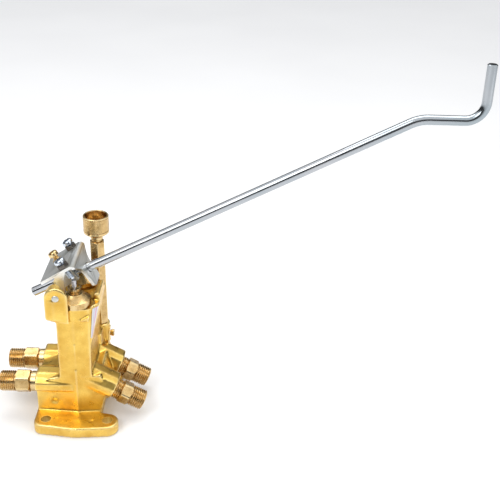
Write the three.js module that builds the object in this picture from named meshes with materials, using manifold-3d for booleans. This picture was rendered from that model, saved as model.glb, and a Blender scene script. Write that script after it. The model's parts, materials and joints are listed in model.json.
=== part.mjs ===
// Oxy-fuel torch gas economizer: a twin shut-off valve worked by a hook lever, with a pilot light.
// Millimetres. Origin at the middle of the flange's underside, +X along the lever, +Z up.
// Hanging the torch on the lever's end turns the bracket about its pivot pins, and the two adjusting
// screws push both valve stems down against their springs, so both gases are shut off together.
import * as THREE from 'three';
import { mergeVertices } from 'three/addons/utils/BufferGeometryUtils.js';
import Module from 'manifold-3d';

const wasm = await Module();
wasm.setup();

// ---------- driving dimensions ----------
const GAP = 0.3; // air between solids that touch
const SIDES = [['front', -1], ['rear', 1]];

const flange = { halfX: 28.5, apexY: 43.4, cornerY: 40.4, cornerR: 6, thick: 7.6, holeX: 21, holeY: 33,
  holeR: 3.5, lobeX: 20.2, lobeY: 33.4, lobeR: 8.3 };
const block = { left: -28.5, right: 15.2, top: 31, apexY: 24.4, sideY: 22.2, flareX: 20.5 };
const pillar = {
  left: -11.6, right: 10.4, top: 88.3, halfY: 21.4, apexY: 23, headLeft: -12.8, headRight: 16.6,
};
const valve = { x: 0.8, y: 14.05, boreR: 5, floorZ: 28.2, portR: 2.4, portFloorZ: 20 };
const corner = { turn: THREE.MathUtils.degToRad(40), low: 58 };
const inlet = { z: 25.4, bossR: 10.6, bossZ: 26.6, faceX: -28.8, stubR: 6.2, stub: 9, passageR: 2.4 };
const outlet = { angle: THREE.MathUtils.degToRad(28.1), faceX: 23.5, faceZ: 21.7, bossR: 9.6 };
const ear = { x: -9.4, halfX: 7.6, inner: 19, outer: 28, bottom: 81 };
const pivot = { x: -9.4, z: 99.2, pinR: 2.35 };
const gland = { af: 20, hexHigh: 4.4, coneTop: 97, seatR: 12.1, threadR: 7.2, threadLong: 9 };
const stop = { left: 12.6, right: 16.4, halfY: 10, top: 94 };
const sheet = 2; // bracket sheet thickness
const plate = { tilt: THREE.MathUtils.degToRad(32), ridgeX: 1.4, ridgeZ: 119.6, long: 25.8, halfY: 18.2 };
const frontPlate = { long: 24.2, footHalfY: 8.2, holeR: 3.6 };
const rod = { r: 3.175, slope: THREE.MathUtils.degToRad(27.45), z0: 104.2, leftX: -29.9,
  cornerX: 257.2, levelZ: 217.1, tipZ: 252.8, bendR1: 24, bendR2: 12 };
const screw = { r: 1.9, long: 16.9, headR: 3.7, headHigh: 2.7, domeX: -0.6, domeZ: 108.4 };
const pilot = { x: 9.9, y: 28, bossR: 6.2, bossLow: 33, bossTop: 49.6, hexAf: 9.5, hexTop: 114.6,
  cupR: 8.85, cupLow: 119.6, cupWall: 1.3, cupRim: 134, boreR: 1.5 };

// ---------- materials ----------
function metal(color, roughness, metalness = 1) {
  return new THREE.MeshStandardMaterial({ color, roughness, metalness });
}
const castBrass = metal(0xd9a038, 0.42);
const turnedBrass = metal(0xb59352, 0.3);
const zincSheet = metal(0x9da096, 0.45);
const zincScrew = metal(0xa9b6c4, 0.28);
const brightRod = metal(0xc2c2c6, 0.15);
const springSteel = metal(0x8a8d90, 0.35);
const sealRubber = metal(0x202020, 0.8, 0);
const sealPlastic = metal(0xe8e4da, 0.5, 0);
const labelPaper = metal(0xd8cfe0, 0.6, 0);

// ---------- solids ----------
const assembly = new THREE.Group();

function welded(geometry) {
  const bare = geometry.clone();
  bare.deleteAttribute('normal');
  bare.deleteAttribute('uv');
  const merged = mergeVertices(bare, 1e-4);
  const index = merged.index.array;
  const kept = [];
  for (let i = 0; i < index.length; i += 3) {
    const [a, b, c] = [index[i], index[i + 1], index[i + 2]];
    if (a !== b && b !== c && c !== a) kept.push(a, b, c);
  }
  merged.setIndex(kept);
  return merged;
}

function toSolid(geometry) {
  const merged = welded(geometry);
  return new wasm.Manifold(new wasm.Mesh({
    numProp: 3,
    vertProperties: new Float32Array(merged.attributes.position.array),
    triVerts: new Uint32Array(merged.index.array),
  }));
}

function toGeometry(solid) {
  const mesh = solid.getMesh();
  const geometry = new THREE.BufferGeometry();
  geometry.setAttribute('position', new THREE.BufferAttribute(new Float32Array(mesh.vertProperties), 3));
  geometry.setIndex(new THREE.BufferAttribute(new Uint32Array(mesh.triVerts), 1));
  return geometry;
}

// Joins the first list and cuts the second one from it.
function carve(joined, cuts = []) {
  const whole = joined.map(toSolid).reduce((a, b) => a.add(b));
  return toGeometry(cuts.map(toSolid).reduce((a, b) => a.subtract(b), whole));
}

function add(name, geometry, material) {
  const mesh = new THREE.Mesh(geometry, material);
  mesh.name = name;
  assembly.add(mesh);
  return mesh;
}

// A round bar standing on the XY plane.
function bar(radius, length, sides = 24) {
  const upright = new THREE.CylinderGeometry(radius, radius, length, sides).rotateX(Math.PI / 2);
  return upright.translate(0, 0, length / 2);
}

// A hexagonal bar standing on the XY plane, with flats facing +X and -X.
function hexBar(acrossFlats, length) {
  return bar(acrossFlats / Math.sqrt(3), length, 6);
}

// A solid of revolution about Z. The outline lists [radius, z], going up on the outside.
function turned(outline, sides = 24) {
  const points = outline.map(([r, z]) => new THREE.Vector2(r, z));
  return welded(new THREE.LatheGeometry(points, sides).rotateX(Math.PI / 2));
}

// An outline in X and Y, extruded up from z = low.
function raised(outline, low, high) {
  const drawn = outline instanceof THREE.Shape;
  const shape = drawn ? outline : new THREE.Shape(outline.map(([x, y]) => new THREE.Vector2(x, y)));
  const settings = { depth: high - low, bevelEnabled: false, curveSegments: 10 };
  return new THREE.ExtrudeGeometry(shape, settings).translate(0, 0, low);
}

// An outline in X and Z, extruded along Y between two planes.
function across(outline, lowY, highY) {
  return raised(outline, 0, highY - lowY).rotateX(Math.PI / 2).translate(0, highY, 0);
}

// Places a Z-pointing geometry so that its +Z runs along the direction, from the point.
function aimed(geometry, direction, point) {
  const up = new THREE.Vector3(0, 0, 1);
  const turn = new THREE.Quaternion().setFromUnitVectors(up, direction.clone().normalize());
  return geometry.clone().applyQuaternion(turn).translate(point.x, point.y, point.z);
}

const vec = (x, y, z) => new THREE.Vector3(x, y, z);
const LEFT = vec(-1, 0, 0);
const UP = vec(0, 0, 1);
const outletWay = vec(Math.cos(outlet.angle), 0, -Math.sin(outlet.angle));
const screwWay = vec(Math.sin(plate.tilt), 0, -Math.cos(plate.tilt)); // down through the bracket's top plate
const rodWay = vec(Math.cos(rod.slope), 0, Math.sin(rod.slope));

function along(point, direction, distance) {
  return point.clone().addScaledVector(direction, distance);
}

// ---------- body casting ----------
function flangeOutline() {
  const f = flange;
  const s = new THREE.Shape();
  s.moveTo(-f.halfX, 0);
  s.absarc(-f.halfX + f.cornerR, -f.cornerY + f.cornerR, f.cornerR, Math.PI, 1.5 * Math.PI);
  s.lineTo(0, -f.apexY);
  s.absarc(f.lobeX, -f.lobeY, f.lobeR, -Math.PI / 2, Math.PI / 2);
  s.lineTo(block.right, -f.lobeY + f.lobeR);
  s.lineTo(block.right, f.lobeY - f.lobeR);
  s.absarc(f.lobeX, f.lobeY, f.lobeR, -Math.PI / 2, Math.PI / 2);
  s.lineTo(0, f.apexY);
  s.absarc(-f.halfX + f.cornerR, f.cornerY - f.cornerR, f.cornerR, Math.PI / 2, Math.PI);
  return s;
}

// The part of an X-Z outline that lies inside a plan drawn with blunt V-shaped front and rear walls.
function drafted(sideOutline, left, right, halfY, apexY, top) {
  const plan = [[left, -halfY], [0, -apexY], [right, -halfY], [right, halfY], [0, apexY], [left, halfY]];
  return toGeometry(toSolid(across(sideOutline, -apexY, apexY)).intersect(toSolid(raised(plan, 0, top))));
}

function lowerBlock() {
  const b = block;
  const side = [[b.left, 1], [b.right, 1], [b.right, 6], [b.flareX, 26], [16, 37], [-10, 36], [b.left, b.top]];
  return drafted(side, b.left, b.flareX, b.sideY, b.apexY, 40);
}

function valvePillar() {
  const p = pillar;
  const side = [[p.left, 20], [p.right, 20], [p.right, 58], [p.headRight, p.top], [p.headLeft, p.top],
    [p.headLeft, 80], [p.left, 76]];
  return drafted(side, p.headLeft, p.headRight, p.halfY, p.apexY, p.top);
}

// The head's two right corners are cut back by upright planes that just touch the glands' spot-faces.
function headCorner(side) {
  const out = pillar.right * Math.cos(corner.turn) + pillar.halfY * Math.sin(corner.turn);
  const high = 60;
  const waste = new THREE.BoxGeometry(20, 40, high).translate(out + 10, 0, corner.low + high / 2);
  return waste.rotateZ(side * corner.turn);
}

function pivotEar(side) {
  const s = new THREE.Shape();
  s.moveTo(ear.x - ear.halfX, ear.bottom + 2);
  s.lineTo(ear.x, ear.bottom);
  s.lineTo(ear.x + ear.halfX, ear.bottom - 1);
  s.absarc(ear.x, pivot.z - 0.4, ear.halfX, 0, Math.PI);
  const [low, high] = side < 0 ? [-ear.outer, -ear.inner] : [ear.inner, ear.outer];
  return across(s, low, high);
}

function bodyCasting() {
  const joined = [raised(flangeOutline(), 0, flange.thick), lowerBlock(), valvePillar()];
  const lip = [[stop.left, 80], [14, 80], [stop.right, pillar.top], [stop.right, stop.top], [stop.left, stop.top]];
  joined.push(across(lip, -stop.halfY, stop.halfY));
  joined.push(bar(pilot.bossR, pilot.bossTop - pilot.bossLow, 20).translate(pilot.x, pilot.y, pilot.bossLow));
  joined.push(across([[4, 36], [12, 34], [12, 48], [4, 48]], 12, 27));
  const cuts = [];
  for (const [, side] of SIDES) {
    const y = side * valve.y;
    const outletFace = vec(outlet.faceX, y, outlet.faceZ);
    joined.push(aimed(bar(inlet.bossR, 26, 20), LEFT, vec(inlet.faceX + 26, y, inlet.bossZ)));
    joined.push(aimed(bar(outlet.bossR, 22, 20), outletWay, along(outletFace, outletWay, -22)));
    joined.push(pivotEar(side));
    cuts.push(headCorner(side));
    cuts.push(bar(gland.seatR, 30, 32).translate(valve.x, y, pillar.top));
    const threadFoot = pillar.top - gland.threadLong - 1;
    cuts.push(bar(gland.threadR + GAP, gland.threadLong + 1.5, 24).translate(valve.x, y, threadFoot));
    cuts.push(bar(valve.boreR, 60, 20).translate(valve.x, y, valve.floorZ));
    cuts.push(bar(3.1, 4, 16).translate(valve.x, y, valve.floorZ - 3));
    cuts.push(bar(valve.portR, 8, 12).translate(valve.x, y, valve.portFloorZ));
    const stubHole = () => bar(inlet.stubR + GAP, inlet.stub + 1, 20);
    cuts.push(aimed(stubHole(), LEFT, vec(inlet.faceX + inlet.stub + 0.5, y, inlet.z)));
    cuts.push(aimed(bar(inlet.passageR, 24, 12), LEFT, vec(valve.x, y, inlet.z)));
    cuts.push(aimed(stubHole(), outletWay, along(outletFace, outletWay, -inlet.stub - 0.5)));
    cuts.push(aimed(bar(inlet.passageR, 20, 12), outletWay, along(outletFace, outletWay, -25)));
    cuts.push(across(circle(pivot.x, pivot.z, pivot.pinR + GAP), side * 24 - 6, side * 24 + 6));
    for (const way of [-1, 1]) {
      cuts.push(bar(flange.holeR, 12, 20).translate(way * flange.holeX, side * flange.holeY, -2));
    }
  }
  // pilot gas: up through the boss from a drilling that starts at the rear valve's inlet side
  cuts.push(bar(3.3, 12, 16).translate(pilot.x, pilot.y, pilot.bossTop - 7));
  cuts.push(bar(pilot.boreR, 12, 12).translate(pilot.x, pilot.y, pilot.bossTop - 12));
  cuts.push(aimed(bar(2.3, 9, 14), vec(1, 0, 0), vec(pilot.x + 1.5, pilot.y, 40)));
  return carve(joined, cuts);
}

function circle(x, y, radius) {
  const s = new THREE.Shape();
  s.absarc(x, y, radius, 0, 2 * Math.PI);
  return s;
}

add('valve_body', bodyCasting(), castBrass);

// ---------- hose fittings ----------
// A nipple along +Z from the boss face: a stub in the boss, a collar, a hexagon, a hose thread and
// a cone seat.
function nipple(collar, hex, thread, hexTurn) {
  const end = collar + hex + thread;
  const solid = [
    bar(inlet.stubR, inlet.stub + 1, 20).translate(0, 0, -inlet.stub),
    bar(7, collar + 0.5, 24).translate(0, 0, GAP),
    hexBar(14.3, hex).rotateZ(hexTurn).translate(0, 0, collar),
    turned([[0, collar + hex - 0.5], [6.2, collar + hex - 0.5], [6.2, collar + hex + 0.6], [7.14, collar + hex + 1.4],
      [7.14, end - 0.6], [6.6, end], [0, end]], 24),
  ];
  const bore = [bar(2, end + inlet.stub + 2, 12).translate(0, 0, -inlet.stub - 1),
    turned([[0, end - 3], [2, end - 3], [4.6, end + 0.01], [4.6, end + 1], [0, end + 1]], 16)];
  return carve(solid, bore);
}

for (const [place, side] of SIDES) {
  const y = side * valve.y;
  add(`inlet_nipple_${place}`, aimed(nipple(4.9, 9.7, 11, 0.26), LEFT, vec(inlet.faceX, y, inlet.z)), turnedBrass);
  add(`outlet_nipple_${place}`, aimed(nipple(5.2, 7.3, 10.4, 0.2), outletWay, vec(outlet.faceX, y, outlet.faceZ)),
    turnedBrass);
}

// ---------- one valve on each side ----------
const stemTip = screw.domeZ - screw.r - GAP;
const shelf = valve.floorZ;

function glandNut() {
  const solid = [hexBar(gland.af, gland.hexHigh).translate(0, 0, pillar.top + GAP),
    turned([[0, 92], [9.6, 92], [5.4, gland.coneTop], [0, gland.coneTop]], 24),
    bar(gland.threadR, gland.threadLong, 24).translate(0, 0, pillar.top - gland.threadLong + GAP + 0.2)];
  const cuts = [bar(4.6, 12, 20).translate(0, 0, gland.coneTop - 8), bar(1.9, 40, 12).translate(0, 0, 70)];
  return carve(solid, cuts);
}

// The slotted packing screw in the gland nut: two horns stand up on each side of the stem.
function packingScrew() {
  const solid = [bar(4.3, 5, 20).translate(0, 0, gland.coneTop - 4.2),
    turned([[0, gland.coneTop + 0.3], [3.4, gland.coneTop + 0.3], [4.6, 101.2], [0, 101.2]], 20)];
  const cuts = [bar(1.9, 14, 12).translate(0, 0, 90),
    new THREE.BoxGeometry(4.6, 12, 6).translate(0, 0, 102),
    turned([[0, 99.4], [2.2, 99.4], [4, 101.3], [4, 103], [0, 103]], 20)];
  return carve(solid, cuts);
}

function valveStem() {
  return turned([[0, 34.9], [2.4, 34.9], [2.4, 43.9], [4.7, 43.9], [4.7, 45.4], [1.6, 46.4], [1.6, 102],
    [1.5, 102.2], [1.5, stemTip], [0, stemTip]], 16);
}

function stemDisc() {
  return turned([[0, 32.7], [3.1, 32.7], [3.1, 34.6], [0, 34.6]], 20);
}

function valveSeat() {
  return turned([[1.3, shelf - 2.7], [2.8, shelf - 2.7], [2.8, 29.6], [2.1, 30.7], [1.3, 30.7], [1.3, shelf - 2.7]], 16);
}

class Helix extends THREE.Curve {
  constructor(radius, low, high, turns) {
    super();
    Object.assign(this, { radius, low, high, turns });
  }

  getPoint(t, target = new THREE.Vector3()) {
    const a = 2 * Math.PI * this.turns * t;
    return target.set(this.radius * Math.cos(a), this.radius * Math.sin(a), this.low + (this.high - this.low) * t);
  }
}

function returnSpring() {
  const wire = circle(0, 0, 0.5);
  const path = new Helix(4, shelf + 0.9, 43.1, 5);
  return new THREE.ExtrudeGeometry(wire, { steps: 45, extrudePath: path, curveSegments: 3, bevelEnabled: false });
}

function packingRing() {
  return turned([[2, 89.3], [4.3, 89.3], [4.3, 92.5], [2, 92.5], [2, 89.3]], 20);
}

for (const [place, side] of SIDES) {
  const y = side * valve.y;
  const at = (geometry) => geometry.translate(valve.x, y, 0);
  add(`gland_nut_${place}`, at(glandNut()), turnedBrass);
  add(`packing_screw_${place}`, at(packingScrew()), turnedBrass);
  add(`stem_packing_${place}`, at(packingRing()), sealPlastic);
  add(`valve_stem_${place}`, at(valveStem()), springSteel);
  add(`stem_disc_${place}`, at(stemDisc()), sealRubber);
  add(`valve_seat_${place}`, at(valveSeat()), turnedBrass);
  add(`return_spring_${place}`, at(returnSpring()), springSteel);
}

// ---------- lever ----------
// Points on the bracket: the top plate runs down and left from the ridge, the front plate down and right.
const ridge = vec(plate.ridgeX, 0, plate.ridgeZ);
const plateWay = vec(-Math.cos(plate.tilt), 0, -Math.sin(plate.tilt));
const inward = screwWay; // into the bracket through the top plate, and also down the front plate
const plateEnd = along(ridge, plateWay, plate.long);

// Where the brass clamp screw goes through the top plate.
const clampAt = along(ridge, plateWay, 14.6);

function xz(point) {
  return [point.x, point.z];
}

function bracketCheek(side) {
  const s = new THREE.Shape();
  const r = 4.9;
  const topLeft = along(along(ridge, plateWay, 13.4), inward, 0.4);
  const topRight = along(along(ridge, plateWay, 5.6), inward, 0.4);
  s.moveTo(topLeft.x, topLeft.z);
  s.lineTo(pivot.x - r, pivot.z + 1);
  s.absarc(pivot.x, pivot.z, r, Math.PI, 2 * Math.PI);
  s.lineTo(pivot.x + r, pivot.z + 3);
  s.lineTo(-5, 108);
  s.lineTo(topRight.x, topRight.z);
  const outer = plate.halfY;
  const [low, high] = side < 0 ? [-outer, -outer + sheet] : [outer - sheet, outer];
  return across(s, low, high);
}

function frontPlateSolid() {
  const f = frontPlate;
  const s = new THREE.Shape();
  s.moveTo(0, -plate.halfY);
  s.lineTo(0, plate.halfY);
  s.bezierCurveTo(5, plate.halfY, 6, f.footHalfY + 2, 12, f.footHalfY + 0.6);
  s.lineTo(f.long - 4, f.footHalfY);
  s.quadraticCurveTo(f.long, f.footHalfY, f.long, f.footHalfY - 4);
  s.lineTo(f.long, -f.footHalfY + 4);
  s.quadraticCurveTo(f.long, -f.footHalfY, f.long - 4, -f.footHalfY);
  s.lineTo(12, -f.footHalfY - 0.6);
  s.bezierCurveTo(6, -f.footHalfY - 2, 5, -plate.halfY, 0, -plate.halfY);
  // the outline's first axis runs down the plate and its second one along Y
  const flat = new THREE.ExtrudeGeometry(s, { depth: sheet, bevelEnabled: false, curveSegments: 6 });
  flat.applyMatrix4(new THREE.Matrix4().makeBasis(screwWay, vec(0, 1, 0), plateWay.clone().negate()));
  const corner = along(ridge, plateWay, sheet);
  return flat.translate(corner.x, 0, corner.z);
}

function topPlateSolid() {
  const corners = [xz(ridge), xz(plateEnd), xz(along(plateEnd, inward, sheet)), xz(along(ridge, inward, sheet))];
  return across(corners, -plate.halfY, plate.halfY);
}

function leverBracket() {
  const holes = [aimed(bar(frontPlate.holeR, 24, 20), rodWay, vec(0, 0, rod.z0))];
  holes.push(aimed(bar(2.3, 8, 16), screwWay, along(clampAt, screwWay, -3)));
  for (const [, side] of SIDES) {
    holes.push(aimed(bar(screw.r + GAP, 12, 16), screwWay, along(screwTop(side), screwWay, -1)));
    holes.push(across(circle(pivot.x, pivot.z, pivot.pinR + GAP), side * 17 - 3, side * 17 + 3));
  }
  return carve([topPlateSolid(), frontPlateSolid(), bracketCheek(-1), bracketCheek(1)], holes);
}

// The lowest point of an adjusting screw on its own axis: the pole of its domed tip.
function screwTip(side) {
  return along(vec(screw.domeX, side * valve.y, screw.domeZ), screwWay, screw.r);
}

// Where an adjusting screw's head sits: up the screw's axis from its tip.
function screwTop(side) {
  return along(screwTip(side), screwWay, -screw.long);
}

add('lever_bracket', leverBracket(), zincSheet);

// A curve whose steps fall only where they are needed: one on each straight, several on each bend.
class RodLine extends THREE.Curve {
  constructor(pieces) {
    super();
    const share = ([piece, steps]) => Array.from({ length: steps }, (_, i) => [piece, i / steps, 1 / steps]);
    this.pieces = pieces.flatMap(share);
  }

  getUtoTmapping(u) {
    return u;
  }

  getPoint(t, target = new THREE.Vector3()) {
    const place = Math.min(t * this.pieces.length, this.pieces.length - 1e-9);
    const [piece, from, share] = this.pieces[Math.floor(place)];
    return piece.getPoint(from + (place % 1) * share, target);
  }
}

// An arc in the X-Z plane.
class Arc extends THREE.Curve {
  constructor(centre, radius, from, to) {
    super();
    Object.assign(this, { centre, radius, from, to });
  }

  getPoint(t, target = new THREE.Vector3()) {
    const a = this.from + (this.to - this.from) * t;
    return target.set(this.centre.x + this.radius * Math.cos(a), 0, this.centre.z + this.radius * Math.sin(a));
  }
}

// The rod runs straight up through the bracket, then level, then upright, with two smooth bends.
function rodLine() {
  const r = rod;
  const start = vec(r.leftX, 0, r.z0 + r.leftX * Math.tan(r.slope));
  const bend = vec((r.levelZ - r.z0) / Math.tan(r.slope), 0, r.levelZ);
  const reach = r.bendR1 * Math.tan(r.slope / 2);
  const levelStart = vec(bend.x + reach, 0, r.levelZ);
  const levelEnd = vec(r.cornerX - r.bendR2, 0, r.levelZ);
  const upStart = vec(r.cornerX, 0, r.levelZ + r.bendR2);
  return new RodLine([
    [new THREE.LineCurve3(start, along(bend, rodWay, -reach)), 1],
    [new Arc(along(levelStart, UP, -r.bendR1), r.bendR1, Math.PI / 2 + r.slope, Math.PI / 2), 4],
    [new THREE.LineCurve3(levelStart, levelEnd), 1],
    [new Arc(along(levelEnd, UP, r.bendR2), r.bendR2, -Math.PI / 2, 0), 8],
    [new THREE.LineCurve3(upStart, vec(r.cornerX, 0, r.tipZ)), 1],
  ]);
}

function leverRod() {
  const line = rodLine();
  return new THREE.ExtrudeGeometry(circle(0, 0, rod.r),
    { steps: line.pieces.length, extrudePath: line, curveSegments: 8, bevelEnabled: false });
}

add('lever_rod', leverRod(), brightRod);

// The block under the top plate that the rod passes through and the clamp screw pinches it in.
function rodBlock() {
  const axis = along(clampAt, screwWay, 12);
  const body = new THREE.BoxGeometry(11, 10, 13.4);
  body.rotateY(-plate.tilt).translate(axis.x, 0, axis.z);
  body.translate(-screwWay.x * 2.9, 0, -screwWay.z * 2.9);
  const rodMiddle = vec(axis.x, 0, rod.z0 + axis.x * Math.tan(rod.slope));
  const cuts = [aimed(bar(rod.r + GAP, 30, 20), rodWay, along(rodMiddle, rodWay, -15)),
    aimed(bar(2.3, 12, 16), screwWay, along(clampAt, screwWay, -1))];
  return carve([body], cuts);
}

add('rod_block', rodBlock(), zincSheet);

// The last points of a turned outline that ends in a half sphere at z = 0.
function dome(radius) {
  return [90, 65, 40, 18, 0].map(THREE.MathUtils.degToRad)
    .map((a) => [radius * Math.sin(a), radius * (Math.cos(a) - 1)]);
}

// A pan head screw along the screw direction, its tip a dome.
function adjustingScrew(side) {
  const { long } = screw;
  const solid = turned([[0, -long], [screw.headR * 0.8, -long], [screw.headR, -long + 1],
    [screw.headR, -long + screw.headHigh],
    [screw.r, -long + screw.headHigh], ...dome(screw.r)], 16);
  const slot = new THREE.BoxGeometry(1, 9, 1.4).translate(0, 0, -long);
  return aimed(carve([solid], [slot]), screwWay, screwTip(side));
}

function lockNut(side) {
  const nut = carve([hexBar(7, 2.6)], [bar(screw.r + GAP, 5, 16).translate(0, 0, -1)]);
  const tip = screwTip(side);
  const away = tip.clone().sub(ridge).dot(screwWay);
  return aimed(nut, screwWay, along(tip, screwWay, -away - 2.6 - GAP));
}

for (const [place, side] of SIDES) {
  add(`adjusting_screw_${place}`, adjustingScrew(side), zincScrew);
  add(`adjusting_lock_nut_${place}`, lockNut(side), zincScrew);
}

function clampScrew() {
  const solid = [bar(1.95, 17, 16).translate(0, 0, -8.6), bar(3.3, 3.2, 18).translate(0, 0, -8.8),
    hexBar(6.4, 2.4).translate(0, 0, -GAP - 2.4)];
  const slot = new THREE.BoxGeometry(1, 8, 1.5).translate(0, 0, -8.8);
  return aimed(carve(solid, [slot]), screwWay, clampAt);
}

add('clamp_screw', clampScrew(), turnedBrass);

// A shouldered pin on each side joins the bracket's cheek to the casting's ear.
for (const [place, side] of SIDES) {
  const pin = turned([[0, 0], [1.9, 0], [pivot.pinR, 0.5], [pivot.pinR, 12.6],
    [3.4, 12.6], [3.4, 13.8], [0, 13.8]], 20);
  add(`pivot_pin_${place}`, aimed(pin, vec(0, -side, 0), vec(pivot.x, side * (ear.outer + 0.2), pivot.z)), zincScrew);
}

// ---------- pilot light ----------
function pilotTube() {
  const p = pilot;
  const solid = [hexBar(p.hexAf, p.hexTop - p.bossTop - GAP).rotateZ(0.2).translate(0, 0, p.bossTop + GAP),
    bar(3, 6, 16).translate(0, 0, p.bossTop - 5),
    turned([[0, p.hexTop - 1], [3.6, p.hexTop - 1], [3.6, 116.4], [4.3, 117], [4.3, p.cupLow - GAP], [0, p.cupLow - GAP]], 20),
    bar(2.6, 4, 16).translate(0, 0, p.cupLow - 1)];
  return carve(solid, [bar(p.boreR, 90, 12).translate(0, 0, p.bossTop - 8)]).translate(p.x, p.y, 0);
}

function pilotCup() {
  const p = pilot;
  const outside = turned([[0, p.cupLow], [5.4, p.cupLow], [p.cupR, 123.6], [p.cupR, p.cupRim], [0, p.cupRim]], 32);
  const inside = p.cupR - p.cupWall;
  const cuts = [turned([[0, 122.6], [5, 122.6], [inside, 125], [inside, 140], [0, 140]], 32),
    bar(2.9, 10, 16).translate(0, 0, p.cupLow - 2)];
  return carve([outside], cuts).translate(p.x, p.y, 0);
}

function pilotJet() {
  const solid = turned([[0.6, 122.9], [2.4, 122.9], [2.4, 125.4], [1.6, 126.6], [0.6, 126.6], [0.6, 122.9]], 16);
  return solid.translate(pilot.x, pilot.y, 0);
}

// The pilot's needle screw, in the side of its boss.
function pilotNeedle() {
  const solid = turned([[0, 0], [1.8, 2], [2, 2.4], [2, 5], [2.6, 5], [2.6, 7], [0, 7]], 14);
  const slot = new THREE.BoxGeometry(7, 0.8, 1.4).translate(0, 0, 7);
  return aimed(carve([solid], [slot]), vec(1, 0, 0), vec(pilot.x + 2, pilot.y, 40));
}

add('pilot_tube', pilotTube(), turnedBrass);
add('pilot_cup', pilotCup(), turnedBrass);
add('pilot_jet', pilotJet(), turnedBrass);
add('pilot_needle', pilotNeedle(), turnedBrass);

// ---------- blank label strip, on the head's cut-back corner ----------
function labelStrip() {
  const outline = [[0.5, 66], [1.7, 66], [8.7, 87.5], [3.2, 87.5]];
  const strip = across(outline, -0.4, -0.1);
  return strip.rotateZ(Math.PI / 2 - corner.turn).translate(pillar.right, -pillar.halfY, 0);
}

add('label_strip', labelStrip(), labelPaper);

export default assembly;
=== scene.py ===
import json
import math

import bmesh
import bpy
from mathutils import Matrix, Vector

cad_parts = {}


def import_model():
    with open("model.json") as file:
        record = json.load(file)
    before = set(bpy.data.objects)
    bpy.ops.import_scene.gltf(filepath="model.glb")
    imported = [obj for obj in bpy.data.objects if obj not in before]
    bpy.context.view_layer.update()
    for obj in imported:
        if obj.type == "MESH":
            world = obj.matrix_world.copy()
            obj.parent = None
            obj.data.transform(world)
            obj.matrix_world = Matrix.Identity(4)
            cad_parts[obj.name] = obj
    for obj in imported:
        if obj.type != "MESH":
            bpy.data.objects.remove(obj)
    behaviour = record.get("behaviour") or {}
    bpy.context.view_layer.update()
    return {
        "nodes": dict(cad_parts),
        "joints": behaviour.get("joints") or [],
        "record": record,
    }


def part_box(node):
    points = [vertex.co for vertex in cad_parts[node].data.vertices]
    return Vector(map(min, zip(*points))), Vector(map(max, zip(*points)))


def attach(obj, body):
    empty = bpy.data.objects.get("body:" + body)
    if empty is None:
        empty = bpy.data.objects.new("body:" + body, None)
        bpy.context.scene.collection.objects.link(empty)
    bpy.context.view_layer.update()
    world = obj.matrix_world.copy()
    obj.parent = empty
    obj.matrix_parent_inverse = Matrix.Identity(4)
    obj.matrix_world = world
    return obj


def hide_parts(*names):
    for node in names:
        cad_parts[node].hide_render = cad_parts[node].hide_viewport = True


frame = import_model()

# The shapes below are worked out in millimetres and become metres when their mesh is made.
MM = 0.001
X, Y, Z = Vector((1, 0, 0)), Vector((0, 1, 0)), Vector((0, 0, 1))


# ---------- where things are, from the frame ----------
def box(node):
    low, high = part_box(node)
    return low / MM, high / MM


def middle(node):
    low, high = box(node)
    return (low + high) / 2


def joint(name):
    return next(j for j in frame["joints"] if j["name"] == name)


def joint_point(name):
    return Vector(joint(name)["pos_m"]) / MM


def joint_axis(name):
    return Vector(joint(name)["axis"]).normalized()


def mount(name):
    return next(m for m in frame["record"]["mounts"] if m["name"] == name)


SIDES = (("front", -1), ("rear", 1))
BODY_OF = {n: b for b, nodes in frame["record"]["behaviour"]["bodies"].items() for n in nodes}

BODY_LOW, BODY_HIGH = box("valve_body")
VALVE_X = middle("valve_stem_front").x
VALVE_Y = middle("valve_stem_rear").y
PILOT = middle("pilot_cup")

# the hose fittings start from the bosses' faces and go a little way into the casting
STUB = 9
INLET_Z = middle("inlet_nipple_front").z
INLET_FACE_X = box("inlet_nipple_front")[1].x - STUB
OUTLET_WAY = Vector(mount("outlet_front")["axis"]).normalized()
OUTLET_FACE = Vector((23.5, 0, 21.7))  # halfway between the two outlets

# the lever turns on two pins; its screws go down through the bracket's top plate
PIVOT = joint_point("lever_pivot")
CLAMP_AT = joint_point("clamp_turn")
SCREW_WAY = joint_axis("clamp_turn")
PLATE_WAY = Vector((SCREW_WAY.z, 0, -SCREW_WAY.x))  # along the top plate, away from its ridge

ROD_HIGH = box("lever_rod")[1]
ROD_R = 3.175
ROD_SLOPE = math.radians(27.45)
ROD_WAY = Vector((math.cos(ROD_SLOPE), 0, math.sin(ROD_SLOPE)))
ROD_Z0 = 104.2  # the height at which its axis crosses X = 0


def on_rod(x):
    """A point on the axis of the rod's sloping length."""
    return Vector((x, 0, ROD_Z0 + x * math.tan(ROD_SLOPE)))


# ---------- mesh code ----------
class Shape:
    """Points in millimetres and the faces between them."""

    def __init__(self, points=(), faces=()):
        self.points = [Vector(p) for p in points]
        self.faces = [list(f) for f in faces]

    def __add__(self, other):
        shift = len(self.points)
        moved = [[i + shift for i in f] for f in other.faces]
        return Shape(self.points + other.points, self.faces + moved)

    def placed(self, matrix):
        return Shape([matrix @ p for p in self.points], self.faces)

    def moved(self, x=0.0, y=0.0, z=0.0):
        return self.placed(Matrix.Translation((x, y, z)))


def together(shapes):
    whole = Shape()
    for shape in shapes:
        whole = whole + shape
    return whole


def pointing(way, at, turn=0.0, side=Y):
    """Sends local Z along way, local Y near side and the origin to a point; way can't be along side."""
    z = Vector(way).normalized()
    y = (side - z * side.dot(z)).normalized()
    axes = Matrix((y.cross(z), y, z)).transposed().to_4x4()
    return Matrix.Translation(at) @ axes @ Matrix.Rotation(turn, 4, "Z")


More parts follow.
